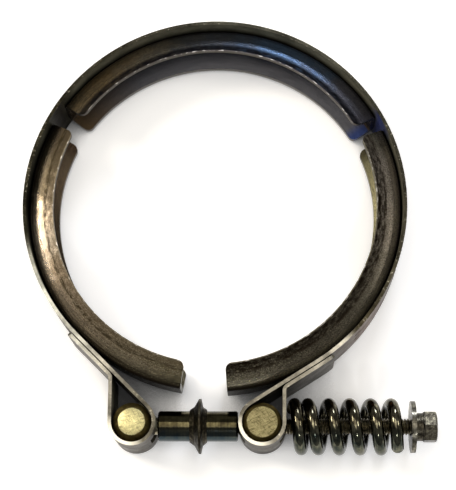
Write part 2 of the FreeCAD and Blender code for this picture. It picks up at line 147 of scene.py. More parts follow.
def grainAlong(tree, angle, z, radius, longMm, fineMm, detail=4.0):
    # Fine lines that run round the ring, as rolling and drawing leave them. Real ones are hundredths of a mm wide,
    # too fine for the render, so they are drawn as coarse as they need to show
    length = addNode(tree, "ShaderNodeMath", {0: angle, 1: ringRadius * perMm(longMm)}, operation="MULTIPLY")
    across = addNode(tree, "ShaderNodeMath", {0: z, 1: perMm(fineMm)}, operation="MULTIPLY")
    depth = addNode(tree, "ShaderNodeMath", {0: radius, 1: perMm(fineMm)}, operation="MULTIPLY")
    where = addNode(tree, "ShaderNodeCombineXYZ", {0: length, 1: across, 2: depth})
    return addNode(tree, "ShaderNodeTexNoise", {"Vector": where, "Scale": 1.0, "Detail": detail})


strip = {
    "inner": "827f6d", "innerDark": "676556", "outer": "3f392e", "outerDark": "2a251c", "outerLight": "544b3b",
    # gapShade and soot are painted shade on the inside face
    "blue": "22366f", "violet": "221e44", "gapShade": "1a140d", "paintedShade": "0b0906", "rust": "7c451f",
    "glint": "d8d2bd", "loop": "d6d2c4",
    # middle and reach of each tinted place in degrees, and its strength
    "blueAt": (27, 7, 0.95), "gapShadeAt": (149, 9, 0.97), "paintedShadeAt": (180, 42, 0.95), "rustAt": (-38, 16, 0.6),
    # the cut edges' colours, from 0 below the ring anticlockwise to 1
    "edges": [(0.0, "4d4a41"), (0.07, "7b776c"), (0.115, "a5a195"), (0.13, "393427"), (0.19, "3a372d"),
              (0.3, "34322a"), (0.38, "434239"), (0.46, "4a4940"), (0.55, "3c3a31"), (0.66, "26241b"),
              (0.78, "26251c"), (0.83, "a3a399"), (0.88, "a09f95"), (0.91, "8b877d"), (0.94, "4d4a41")],
    # the loops' painted highlight on their worn corner, where it faces the light: the way it looks, and how far from
    # the pin's centre it reaches and fades, in m
    "highlightSide": (-0.62, -0.78, 0), "loopRadius": 0.0095, "loopFade": 0.0025,
    "blotchMm": 7.0, "stainMm": 16.0, "spotMm": 0.8, "grainMm": 0.18, "grainLongMm": 9.0,
    # how far the edge's bare metal reaches over the corner onto the face, in m, and how ragged that is
    "edgeBelow": 0.00012, "edgeAbove": 0.00004, "ragged": 0.0003,
}


def stripMaterial():
    # Cold-rolled stainless strip, browned by exhaust heat: satin brown faces with fine lines along the strip, painted
    # shade on the inside face by the retainers, and cut edges that are brown round the ring, with a painted highlight
    # at the loops
    material, tree, coords = startMaterial("heatTintedStrip")
    angle, radius, z, facing = around(tree, coords)
    where = coords.outputs["Object"]
    blotch = addNode(tree, "ShaderNodeTexNoise", {
        "Vector": where, "Scale": perMm(strip["blotchMm"]), "Detail": 5.0, "Roughness": 0.62,
    })
    spots = addNode(tree, "ShaderNodeTexNoise", {"Vector": where, "Scale": perMm(strip["spotMm"]), "Detail": 3.0})
    grain = grainAlong(tree, angle, z, radius, strip["grainLongMm"], strip["grainMm"])
    inner = addNode(tree, "ShaderNodeValToRGB", {0: blotch}, stops=[
        (0.36, linear(strip["innerDark"])), (0.62, linear(strip["inner"])),
    ])
    stain = grainAlong(tree, angle, z, radius, strip["stainMm"], strip["stainMm"] / 3, detail=5.0)
    stain = addNode(tree, "ShaderNodeMix", {0: 0.45, 2: stain, 3: grain})
    outer = addNode(tree, "ShaderNodeValToRGB", {0: stain}, stops=[
        (0.34, linear(strip["outerDark"])), (0.52, linear(strip["outer"])), (0.7, linear(strip["outerLight"])),
    ])
    # heat colours where the gap between two retainers leaves the strip bare
    bare = near(tree, angle, *strip["blueAt"])
    tint = addNode(tree, "ShaderNodeMix", {0: blotch, 6: linear(strip["blue"]), 7: linear(strip["violet"])},
                   out=2, data_type="RGBA")
    inner = addNode(tree, "ShaderNodeMix", {0: bare, 6: inner, 7: tint}, out=2, data_type="RGBA")
    # painted shade on the inside face: dark in the gap at about 149 degrees and behind the left retainer round 180
    # degrees
    for place, code in (("gapShadeAt", "gapShade"), ("paintedShadeAt", "paintedShade")):
        darkened = near(tree, angle, *strip[place])
        inner = addNode(tree, "ShaderNodeMix", {0: darkened, 6: inner, 7: linear(strip[code])}, out=2,
                        data_type="RGBA")
    # a rusty patch on the outside at the lower right
    rusty = near(tree, angle, *strip["rustAt"])
    rusty = addNode(tree, "ShaderNodeMath", {0: rusty, 1: spots}, operation="MULTIPLY")
    outer = addNode(tree, "ShaderNodeMix", {0: rusty, 6: outer, 7: linear(strip["rust"])}, out=2, data_type="RGBA")
    isOuter = addNode(tree, "ShaderNodeMapRange", {0: facing, 1: -0.1, 2: 0.1})
    face = addNode(tree, "ShaderNodeMix", {0: isOuter, 6: inner, 7: outer}, out=2, data_type="RGBA")
    edge = addNode(tree, "ShaderNodeValToRGB", {0: shareRound(tree, angle, -90, 360)},
                   stops=[(place, linear(code)) for place, code in strip["edges"]])
    glint = addNode(tree, "ShaderNodeMapRange", {0: spots, 1: 0.6, 2: 0.75, 3: 0.0, 4: 0.35})
    edge = addNode(tree, "ShaderNodeMix", {0: glint, 6: edge, 7: linear(strip["glint"])}, out=2, data_type="RGBA")
    rubbed = addNode(tree, "ShaderNodeMapRange", {0: blotch, 1: 0.35, 2: 0.65, 3: 0.5, 4: 1.5})
    edge = addNode(tree, "ShaderNodeVectorMath", {0: edge, "Scale": rubbed}, operation="SCALE")
    # painted highlight on the loops' worn edges, on their lower left where they face the light
    x, y, z = addNode(tree, "ShaderNodeSeparateXYZ", {0: where}, out=None).outputs
    between = (headCentre.x + pinCentre.x) / 2
    isRight = addNode(tree, "ShaderNodeMath", {0: x, 1: between}, operation="GREATER_THAN")
    centreX = addNode(tree, "ShaderNodeMapRange", {0: isRight, 3: headCentre.x, 4: pinCentre.x})
    centre = addNode(tree, "ShaderNodeCombineXYZ", {0: centreX, 1: boltY})
    flat = addNode(tree, "ShaderNodeCombineXYZ", {0: x, 1: y})
    fromPin = addNode(tree, "ShaderNodeVectorMath", {0: flat, 1: centre}, operation="SUBTRACT")
    length = addNode(tree, "ShaderNodeVectorMath", {0: fromPin}, out=1, operation="LENGTH")
    fromPin = addNode(tree, "ShaderNodeVectorMath", {0: fromPin}, operation="NORMALIZE")
    lowerLeft = addNode(tree, "ShaderNodeVectorMath", {0: fromPin, 1: strip["highlightSide"]}, out=1,
                        operation="DOT_PRODUCT")
    lit = addNode(tree, "ShaderNodeMapRange", {0: lowerLeft, 1: 0.35, 2: 0.9, 3: 0.0, 4: 1.0})
    loopEnd = strip["loopRadius"] + strip["loopFade"]
    onLoop = addNode(tree, "ShaderNodeMapRange", {0: length, 1: strip["loopRadius"], 2: loopEnd, 3: 1.0, 4: 0.0})
    lit = addNode(tree, "ShaderNodeMath", {0: lit, 1: onLoop}, operation="MULTIPLY")
    edge = addNode(tree, "ShaderNodeMix", {0: lit, 6: edge, 7: linear(strip["loop"])}, out=2, data_type="RGBA")
    height = addNode(tree, "ShaderNodeMath", {0: z}, operation="ABSOLUTE")
    worn = addNode(tree, "ShaderNodeMath", {0: spots, 1: strip["ragged"], 2: height}, operation="MULTIPLY_ADD")
    isEdge = addNode(tree, "ShaderNodeMapRange", {0: worn, 1: halfWidth - strip["edgeBelow"],
                                                  2: halfWidth + strip["edgeAbove"]})
    colour = addNode(tree, "ShaderNodeMix", {0: isEdge, 6: face, 7: edge}, out=2, data_type="RGBA")
    roughFace = addNode(tree, "ShaderNodeMapRange", {0: blotch, 1: 0.3, 2: 0.7, 3: 0.5, 4: 0.3})
    rough = addNode(tree, "ShaderNodeMix", {0: isEdge, 2: roughFace, 3: 0.36})
    bumps = addNode(tree, "ShaderNodeMix", {0: 0.35, 2: grain, 3: spots})
    # matt scale hides most of the metal, less so outside
    polished = addNode(tree, "ShaderNodeMapRange", {0: isOuter, 3: 0.06, 4: 0.7})
    polished = addNode(tree, "ShaderNodeMath", {0: polished, 1: isEdge}, operation="MAXIMUM")
    finishMaterial(tree, colour, rough, bumps, 0.05, metallic=polished, specular=0.02)
    return material


channels = {
    # from, span: where the channel starts and how far it reaches, in degrees
    # welds: angle of its first pair of spot welds and the step to the next
    # band, scale, bandMm: colour of the scale near the upper leg's tip, its least and most strength, and the
    # distances from the tip where it starts to fade and where it ends
    # lift: painted light and shade across the upper leg, lighter towards the web on the top and right retainers and
    # darker there on the left one: distances from the tip between which the leg's lightness goes from 1 to the third
    # value
    # chips: middle and reach of the places where scale has chipped off, and their strength
    # groove, crease: colour and strength of the painted shade in the crease; inside: the lower leg; line: the tip's
    # corner
    # start, end: colour of the lower leg at both ends and its reach; tints: from start to end of the channel
    "top_retainer": {
        "from": 29.9, "span": 115.7, "welds": (38, 33), "band": "0b0b0e", "scale": (0.8, 1.0),
        "bandMm": (1.9, 3.3), "lift": (2.0, 6.5, 1.25), "chips": (60, 60, 0.3), "creaseShade": "1a1a1e", "crease": 0.0,
        "inside": "4a4a4e", "line": "5b5552", "start": ("28345c", 5), "end": ("4a3c2a", 26),
        "tints": [(0.0, "4a484e"), (0.14, "54555d"), (0.27, "46586f"), (0.38, "44576f"), (0.49, "42464e"),
                  (0.6, "474746"), (0.72, "6a6253"), (0.86, "6c5c43"), (1.0, "564e3e")],
    },
    "left_retainer": {
        "from": 152.5, "span": 107.5, "welds": (158, 21), "band": "4a4030", "scale": (0.38, 0.75),
        "bandMm": (1.2, 5.2), "lift": (5.6, 7.6, 0.4), "chips": (250, 48, 1.0), "creaseShade": "2e2719", "crease": 0.8,
        "inside": "463c30", "line": "746c5b", "start": ("3b2f24", 5), "end": ("3f3a2c", 5),
        # the pale stops at 0.3 to 0.47 are a painted highlight, where the leg faces the left lamp
        "tints": [(0.0, "3a3228"), (0.1, "453f33"), (0.21, "5f5646"), (0.3, "c9b79e"), (0.37, "e6d6c0"),
                  (0.47, "a8967e"), (0.56, "8d7f6c"), (0.68, "847763"), (0.85, "7e745f"), (1.0, "665f49")],
    },
    "right_retainer": {
        "from": 274.1, "span": 111.1, "welds": (-42, 21), "band": "120c06", "scale": (0.5, 1.0),
        "bandMm": (1.2, 6.2), "lift": (2.0, 6.5, 1.35), "chips": (-78, 45, 0.8), "creaseShade": "171008",
        "crease": 0.75, "inside": "4b4836", "line": "79735f", "start": ("4a4535", 5), "end": ("2d2a1e", 5),
        # the lighter stops at 0.72 and 0.88 are painted light on the upper end of the leg
        "tints": [(0.0, "474338"), (0.3, "514c41"), (0.55, "5b564b"), (0.72, "746d62"), (0.88, "7b746a"),
                  (1.0, "47453a")],
    },
}
channel = {
    "sheared": "4c473e", "floor": "3d342b", "back": "1f1a14", "glint": "efe8df", "chip": "a8a083",
    # the section, in m and degrees
    "tip": 0.0575, "creaseAt": 0.0606, "creaseHalf": 0.0003, "creaseFade": 0.0006, "webHalf": 0.007,
    "depth": 0.0092, "legAngle": 20.0, "cornerLow": 0.0003, "cornerHigh": 0.0005,
    "lineBelow": 0.00012, "lineAbove": 0.00005, "ragged": 0.0003,
    "pitMm": 0.45, "markMm": 2.4, "markWideMm": 0.8, "grainMm": 0.2, "grainLongMm": 11.0, "blotchMm": 5.0,
    "spillDegrees": 3,
}


def channelMaterial(node, look):
    # Pressed stainless channel: drawn lines along the bend, heat colours, pitted scale on the upper leg, and painted
    # light and shade on the legs and web
    material, tree, coords = startMaterial("temperedChannel_" + node)
    angle, radius, z, facing = around(tree, coords)
    where = coords.outputs["Object"]
    blotch = addNode(tree, "ShaderNodeTexNoise", {
        "Vector": where, "Scale": perMm(channel["blotchMm"]), "Detail": 5.0, "Roughness": 0.6,
    })
    wander = addNode(tree, "ShaderNodeMapRange", {0: blotch, 1: 0.3, 2: 0.7, 3: -0.06, 4: 0.06})
    spill = channel["spillDegrees"]
    share = shareRound(tree, angle, look["from"] - spill, look["span"] + 2 * spill)
    share = addNode(tree, "ShaderNodeMath", {0: share, 1: wander}, operation="ADD")
    tint = addNode(tree, "ShaderNodeValToRGB", {0: share},
                   stops=[(place, linear(code)) for place, code in look["tints"]])
    grain = grainAlong(tree, angle, z, radius, channel["grainLongMm"], channel["grainMm"])
    pits = addNode(tree, "ShaderNodeTexNoise", {
        "Vector": where, "Scale": perMm(channel["pitMm"]), "Detail": 6.0, "Roughness": 0.7,
    })
    streak = addNode(tree, "ShaderNodeMapRange", {0: grain, 1: 0.3, 2: 0.7, 3: 0.8, 4: 1.15})
    speckle = addNode(tree, "ShaderNodeMapRange", {0: pits, 1: 0.38, 2: 0.62, 3: 0.4, 4: 1.4})
    speckle = addNode(tree, "ShaderNodeMath", {0: speckle, 1: streak}, operation="MULTIPLY")
    face = addNode(tree, "ShaderNodeVectorMath", {0: tint, "Scale": speckle}, operation="SCALE")
    # painted light and shade across the leg: the web side is painted lighter on the top and right retainers and
    # darker on the left one
    lowMm, highMm, atWeb = look["lift"]
    lift = addNode(tree, "ShaderNodeMapRange", {0: radius, 1: channel["tip"] + lowMm / 1000,
                                                2: channel["tip"] + highMm / 1000, 3: 1.0, 4: atWeb})
    face = addNode(tree, "ShaderNodeVectorMath", {0: face, "Scale": lift}, operation="SCALE")
    # dark pits, and beside them small glints where scale has chipped off
    worn = near(tree, angle, *look["chips"])
    flaws = ((0.36, 0.45, 0.75, 0.0, look["band"]), (0.56, 0.64, 0.0, 0.8, channel["chip"]))
    for low, high, atLow, atHigh, code in flaws:
        hit = addNode(tree, "ShaderNodeMapRange", {0: pits, 1: low, 2: high, 3: atLow, 4: atHigh})
        hit = addNode(tree, "ShaderNodeMath", {0: hit, 1: worn}, operation="MULTIPLY")
        face = addNode(tree, "ShaderNodeMix", {0: hit, 6: face, 7: linear(code)}, out=2, data_type="RGBA")
    # a dark band of scale with long marks, on the upper leg towards its tip
    marks = grainAlong(tree, angle, z, radius, channel["markMm"], channel["markWideMm"], detail=3.0)
    isUpper = addNode(tree, "ShaderNodeMapRange", {0: z, 1: 0.0, 2: 0.002})
    fullMm, noneMm = look["bandMm"]
    nearTip = addNode(tree, "ShaderNodeMapRange", {0: radius, 1: channel["tip"] + fullMm / 1000,
                                                   2: channel["tip"] + noneMm / 1000, 3: 1.0, 4: 0.0})
    least, most = look["scale"]
    banded = addNode(tree, "ShaderNodeMapRange", {0: marks, 1: 0.36, 2: 0.56, 3: least, 4: most})
    banded = addNode(tree, "ShaderNodeMath", {0: banded, 1: nearTip}, operation="MULTIPLY")
    banded = addNode(tree, "ShaderNodeMath", {0: banded, 1: isUpper}, operation="MULTIPLY")
    face = addNode(tree, "ShaderNodeMix", {0: banded, 6: face, 7: linear(look["band"])}, out=2, data_type="RGBA")
    inside = linear(look["inside"])
    for (code, reach), place in ((look["start"], look["from"]), (look["end"], look["from"] + look["span"])):
        atEnd = near(tree, angle, (place + 90) % 360 - 90, reach, 0.95)
        inside = addNode(tree, "ShaderNodeMix", {0: atEnd, 6: inside, 7: linear(code)}, out=2, data_type="RGBA")
    inside = addNode(tree, "ShaderNodeVectorMath", {0: inside, "Scale": streak}, operation="SCALE")
    face = addNode(tree, "ShaderNodeMix", {0: isUpper, 6: inside, 7: face}, out=2, data_type="RGBA")
    # a shallow crease that the press leaves along the leg, with painted shade along it
    fromCrease = addNode(tree, "ShaderNodeMath", {0: radius, 1: channel["creaseAt"]}, operation="SUBTRACT")
    fromCrease = addNode(tree, "ShaderNodeMath", {0: fromCrease}, operation="ABSOLUTE")
    creaseEnd = channel["creaseHalf"] + channel["creaseFade"]
    crease = addNode(tree, "ShaderNodeMapRange", {0: fromCrease, 1: channel["creaseHalf"], 2: creaseEnd,
                                                  3: look["crease"], 4: 0.0})
    crease = addNode(tree, "ShaderNodeMath", {0: crease, 1: isUpper}, operation="MULTIPLY")
    broken = addNode(tree, "ShaderNodeMapRange", {0: marks, 1: 0.4, 2: 0.56, 3: 0.25, 4: 1.0})
    crease = addNode(tree, "ShaderNodeMath", {0: crease, 1: broken}, operation="MULTIPLY")
    face = addNode(tree, "ShaderNodeMix", {0: crease, 6: face, 7: linear(look["creaseShade"])}, out=2, data_type="RGBA")
    # the web is browner, with painted shade inside the channel and on its back against the strap
    isFloor = addNode(tree, "ShaderNodeMapRange", {0: facing, 1: -0.55, 2: -0.4, 3: 1.0, 4: 0.0})
    face = addNode(tree, "ShaderNodeMix", {0: isFloor, 6: face, 7: linear(channel["floor"])}, out=2, data_type="RGBA")
    isBack = addNode(tree, "ShaderNodeMapRange", {0: facing, 1: 0.5, 2: 0.8})
    face = addNode(tree, "ShaderNodeMix", {0: isBack, 6: face, 7: linear(channel["back"])}, out=2, data_type="RGBA")
    # the sheared tip is dull, with a thin line along its corner where the burr is rubbed bright
    atTip = addNode(tree, "ShaderNodeMapRange", {0: radius, 1: channel["tip"] + channel["cornerLow"],
                                                 2: channel["tip"] + channel["cornerHigh"], 3: 1.0, 4: 0.0})
    isTip = addNode(tree, "ShaderNodeMapRange", {0: facing, 1: -0.97, 2: -0.9, 3: 1.0, 4: 0.0})
    isTip = addNode(tree, "ShaderNodeMath", {0: isTip, 1: atTip}, operation="MULTIPLY")
    face = addNode(tree, "ShaderNodeMix", {0: isTip, 6: face, 7: linear(channel["sheared"])}, out=2, data_type="RGBA")
    mouth = channel["webHalf"] + channel["depth"] * math.tan(math.radians(channel["legAngle"]))
    height = addNode(tree, "ShaderNodeMath", {0: z}, operation="ABSOLUTE")
    ragged = addNode(tree, "ShaderNodeMapRange", {0: grain, 1: 0.35, 2: 0.65, 3: 0.0, 4: channel["ragged"]})
    height = addNode(tree, "ShaderNodeMath", {0: height, 1: ragged}, operation="ADD")
    line = addNode(tree, "ShaderNodeMapRange", {0: height, 1: mouth - channel["lineBelow"],
                                                2: mouth + channel["lineAbove"], 3: 0.0, 4: 0.9})
    line = addNode(tree, "ShaderNodeMath", {0: line, 1: atTip}, operation="MULTIPLY")
    glint = addNode(tree, "ShaderNodeMapRange", {0: marks, 1: 0.54, 2: 0.62, 3: 0.0, 4: 0.8})
    rubbed = addNode(tree, "ShaderNodeMix", {0: glint, 6: linear(look["line"]), 7: linear(channel["glint"])}, out=2,
                     data_type="RGBA")
    colour = addNode(tree, "ShaderNodeMix", {0: line, 6: face, 7: rubbed}, out=2, data_type="RGBA")
    rough = addNode(tree, "ShaderNodeMapRange", {0: banded, 1: 0.0, 2: 0.6, 3: 0.27, 4: 0.5})
    relief = addNode(tree, "ShaderNodeMath", {0: banded, 1: pits}, operation="MULTIPLY")
    relief = addNode(tree, "ShaderNodeMath", {0: grain, 1: relief}, operation="SUBTRACT")
    relief = addNode(tree, "ShaderNodeMath", {0: relief, 1: crease}, operation="SUBTRACT")
    polished = addNode(tree, "ShaderNodeMapRange", {0: isBack, 3: 0.85, 4: 0.0})
    finishMaterial(tree, colour, rough, relief, 0.06, metallic=polished, specular=0.02, paintedShadeMm=3.2)
    return material


crossPin = {
    "scratch": "332c16", "side": "43391b", "sideLight": "655631", "ring": "2d260f", "lineMm": 0.22,
    "crossingMm": 0.33, "crossing": 78, "longer": 9.0, "blotchMm": 2.4,
    # in m: how far under the face its finish reaches, and how ragged and soft its outline is
    "faceBelow": 0.00025, "faceAbove": 0.0001, "ragged": 0.0009, "outlineLow": 0.0003, "outlineHigh": 0.0005,
}
pinFaces = {
    # name: material, face radius, colour, direction of the saw marks in degrees, their strength
    "head": ("turnedHead", 0.0047, "d6cd97", 118, 0.6),
    "pin": ("sawnPin", 0.0053, "8a825f", 128, 0.8),
}


def turnedMaterial(face, centre, faceHeight):
    # Turned steel cross pin, sawn off: bare end faces that shine under crossed saw marks, which are drawn coarser
    # than real ones so that they show, a rough dark chamfer round them and browned sides
    name, faceRadius, code, sawn, marking = pinFaces[face]
    material, tree, coords = startMaterial(name)
    where = addNode(tree, "ShaderNodeMapping", {0: coords.outputs["Object"], 1: (-centre[0], -centre[1], 0)})
    x, y, z = addNode(tree, "ShaderNodeSeparateXYZ", {0: where}, out=None).outputs
    flat = addNode(tree, "ShaderNodeCombineXYZ", {0: x, 1: y})
    radius = addNode(tree, "ShaderNodeVectorMath", {0: flat}, out=1, operation="LENGTH")
    blotch = addNode(tree, "ShaderNodeTexNoise", {
        "Vector": where, "Scale": perMm(crossPin["blotchMm"]), "Detail": 6.0, "Roughness": 0.65,
    })
    side = addNode(tree, "ShaderNodeValToRGB", {0: blotch}, stops=[
        (0.38, linear(crossPin["ring"])), (0.55, linear(crossPin["side"])), (0.72, linear(crossPin["sideLight"])),
    ])
    strokes = []
    for turn, wideMm in ((sawn, crossPin["lineMm"]), (sawn + crossPin["crossing"], crossPin["crossingMm"])):
        along = addNode(tree, "ShaderNodeMapping", {
            0: where, 2: (0, 0, math.radians(turn)), 3: (crossPin["longer"], 1, 1),
        }, vector_type="TEXTURE")
        strokes.append(addNode(tree, "ShaderNodeTexNoise", {
            "Vector": along, "Scale": perMm(wideMm), "Detail": 3.0, "Roughness": 0.7,
        }))
    marks = addNode(tree, "ShaderNodeMath", {0: strokes[0], 1: strokes[1]}, operation="MINIMUM")
    marked = addNode(tree, "ShaderNodeMapRange", {0: marks, 1: 0.39, 2: 0.47, 3: marking, 4: 0.0})
    smudge = addNode(tree, "ShaderNodeMapRange", {0: blotch, 1: 0.46, 2: 0.68, 3: 0.0, 4: marking * 0.7})
    marked = addNode(tree, "ShaderNodeMath", {0: marked, 1: smudge}, operation="MAXIMUM")
    face = addNode(tree, "ShaderNodeMix", {0: marked, 6: linear(code), 7: linear(crossPin["scratch"])}, out=2,
                   data_type="RGBA")
    height = addNode(tree, "ShaderNodeMath", {0: z}, operation="ABSOLUTE")
    isHigh = addNode(tree, "ShaderNodeMapRange", {0: height, 1: faceHeight - crossPin["faceBelow"],
                                                  2: faceHeight - crossPin["faceAbove"]})
    reach = addNode(tree, "ShaderNodeMath", {0: blotch, 1: crossPin["ragged"], 2: radius}, operation="MULTIPLY_ADD")
    isFace = addNode(tree, "ShaderNodeMapRange", {0: reach, 1: faceRadius + crossPin["outlineLow"],
                                                  2: faceRadius + crossPin["outlineHigh"], 3: 1.0, 4: 0.0})
    isFace = addNode(tree, "ShaderNodeMath", {0: isFace, 1: isHigh}, operation="MULTIPLY")
    colour = addNode(tree, "ShaderNodeMix", {0: isFace, 6: side, 7: face}, out=2, data_type="RGBA")
    rough = addNode(tree, "ShaderNodeMix", {0: isFace, 2: 0.5, 3: 0.34})
    relief = addNode(tree, "ShaderNodeMix", {0: isFace, 2: blotch, 3: marks})
    polished = addNode(tree, "ShaderNodeMapRange", {0: isFace, 3: 0.3, 4: 1.0})
    finishMaterial(tree, colour, rough, relief, 0.1, metallic=polished, specular=0.1, paintedShade=0.5)
    return material


roundFinishes = {
    # dark, middle, light and painted-reflection colours, how much of the last, blotch and turning-line size in mm,
    # roughness low and high, relief in mm, pitch of turned rings in mm
    # smooth turned steel, browned, with a painted blue reflection on the side away from the ring: one sharp highlight
    # along it
    "turnedSleeve": ("262118", "3d3826", "5c563f", "2b4350", 0.6, 3.0, 0.3, 0.08, 0.2, 0.02, 0.0),
    # cast skin, oxidised: dull and grainy
    "roughCastCollar": ("12100c", "302c22", "5e5848", "302c22", 0.0, 1.0, 0.5, 0.3, 0.6, 0.16, 0.0),
    # hard-drawn wire, oiled brown, with a painted blue reflection on the side away from the ring: a clear highlight
    # on each coil
    "drawnSpringWire": ("24211b", "4f4b3c", "8b866f", "22383a", 0.4, 2.6, 0.4, 0.08, 0.2, 0.03, 0.0),
    # rolled thread: crests rubbed bright over brown roots
    "rolledThread": ("2f2a20", "8f8770", "e2dac0", "8f8770", 0.0, 1.2, 0.3, 0.2, 0.42, 0.03, 0.0),
    # stamped steel, grey and a little scuffed
    "stampedWasher": ("35332d", "5d5a50", "9b9789", "5d5a50", 0.0, 2.0, 0.3, 0.2, 0.45, 0.03, 0.0),
    # zinc plate gone dull: mottled grey, with dark turned rings
    "dullZincNut": ("25221b", "47433a", "77725f", "47433a", 0.0, 1.1, 0.3, 0.24, 0.42, 0.04, 1.05),
}
nutCollarLength = 0.0037


def roundMaterial(name):
    # Steel worked on a lathe, drawn or rolled: fine rings about the bolt, browned in blotches, brighter where rubbed,
    # and on some a painted blue reflection on the side away from the ring
    dark, middle, light, reflectionColour, share, blotchMm, lineMm, smooth, matt, reliefMm, ringMm = roundFinishes[name]
    material, tree, coords = startMaterial(name)
    where = addNode(tree, "ShaderNodeMapping", {0: coords.outputs["Object"], 1: (-nutLow.x, -boltY, 0)})
    along, across, up = addNode(tree, "ShaderNodeSeparateXYZ", {0: where}, out=None).outputs
    flat = addNode(tree, "ShaderNodeCombineXYZ", {1: across, 2: up})
    radius = addNode(tree, "ShaderNodeVectorMath", {0: flat}, out=1, operation="LENGTH")
    blotch = addNode(tree, "ShaderNodeTexNoise", {
        "Vector": where, "Scale": perMm(blotchMm), "Detail": 6.0, "Roughness": 0.62,
    })
    lineAt = addNode(tree, "ShaderNodeCombineXYZ", {0: along, 1: radius})
    lines = addNode(tree, "ShaderNodeTexNoise", {"Vector": lineAt, "Scale": perMm(lineMm), "Detail": 3.0})
    mixed = addNode(tree, "ShaderNodeMix", {0: 0.3, 2: blotch, 3: lines})
    colour = addNode(tree, "ShaderNodeValToRGB", {0: mixed}, stops=[
        (0.38, linear(dark)), (0.5, linear(middle)), (0.66, linear(light)),
    ])
    if share:  # painted blue reflection over 4.5 mm on the side away from the ring
        reflectionMask = addNode(tree, "ShaderNodeMapRange", {0: across, 1: -0.0005, 2: -0.005, 3: 0.0, 4: share})
        colour = addNode(tree, "ShaderNodeMix", {0: reflectionMask, 6: colour, 7: linear(reflectionColour)}, out=2, data_type="RGBA")
    if ringMm:  # turned rings on the plain collar
        ring = addNode(tree, "ShaderNodeMath", {0: along, 1: ringMm / 1000 / 2}, operation="PINGPONG")
        ring = addNode(tree, "ShaderNodeMapRange", {0: ring, 1: 0.00005, 2: 0.00016, 3: 0.8, 4: 0.0})
        onCollar = addNode(tree, "ShaderNodeMath", {0: along, 1: nutCollarLength}, operation="LESS_THAN")
        ring = addNode(tree, "ShaderNodeMath", {0: ring, 1: onCollar}, operation="MULTIPLY")
        colour = addNode(tree, "ShaderNodeMix", {0: ring, 6: colour, 7: linear(dark)}, out=2, data_type="RGBA")
    rough = addNode(tree, "ShaderNodeMapRange", {0: blotch, 1: 0.3, 2: 0.7, 3: matt, 4: smooth})
    finishMaterial(tree, colour, rough, mixed, reliefMm)
    return material


materials = {name: roundMaterial(name) for name in roundFinishes}
materials["strip"] = stripMaterial()
materials["head"] = turnedMaterial("head", headCentre, headHigh.z)
materials["pin"] = turnedMaterial("pin", pinCentre, headHigh.z)
for node, look in channels.items():
    materials[node] = channelMaterial(node, look)

dressed = {
    "strap": "strip", "top_retainer": "top_retainer", "left_retainer": "left_retainer",
    "right_retainer": "right_retainer", "trunnion_pin": "pin", "spacer_sleeve": "turnedSleeve",
    "conical_collar": "roughCastCollar", "thrust_washer": "stampedWasher", "lock_nut": "dullZincNut",
}
for node, finish in dressed.items():
    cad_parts[node].data.materials.clear()
    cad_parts[node].data.materials.append(materials[finish])
print("finishes on the carried-over nodes:", len(dressed))


def startTree(name, sizes):
    # A tree with one named input for each size
    tree = bpy.data.node_groups.new(name, "GeometryNodeTree")
    for size, value in sizes.items():
        kind = "NodeSocketInt" if isinstance(value, int) else "NodeSocketFloat"
        tree.interface.new_socket(size, in_out="INPUT", socket_type=kind)
    tree.interface.new_socket("Geometry", in_out="OUTPUT", socket_type="NodeSocketGeometry")
    return tree, addNode(tree, "NodeGroupInput", out=None).outputs


def runTree(name, tree, sizes, geometry, material):
    # Ends the tree, gives its inputs their sizes and keeps the result as a plain mesh
    real = addNode(tree, "GeometryNodeRealizeInstances", {0: geometry})
    painted = addNode(tree, "GeometryNodeSetMaterial", {0: real, "Material": material})
    addNode(tree, "NodeGroupOutput", {0: painted}, out=None)
    piece = bpy.data.objects.new(name, bpy.data.meshes.new(name))
    bpy.context.collection.objects.link(piece)
    maker = piece.modifiers.new(name, "NODES")
    maker.node_group = tree
    for item in tree.interface.items_tree:
        if item.item_type == "SOCKET" and item.in_out == "INPUT":
            maker[item.identifier] = sizes[item.name]
    graph = bpy.context.evaluated_depsgraph_get()
    made = bpy.data.meshes.new_from_object(piece.evaluated_get(graph), depsgraph=graph)
    piece.modifiers.clear()
    piece.data = made
    return piece


# Compression spring: one wire wound right-handed about the bolt, its end coils closed
wire = 0.0022
closedPitch = 0.00455
springBlend = 0.12  # turns over which the pitch changes
spring = {
    "Points": 620, "Coil Radius": (springHigh.z - springLow.z) / 2 - wire, "Wire Radius": wire,
    "Left Turns": 1.1, "Open Turns": 4.0, "Right Turns": 0.45, "Closed Pitch": closedPitch, "Open Pitch": 0.00725,
    "Start": springLow.x + wire, "Axis Y": boltY,
}


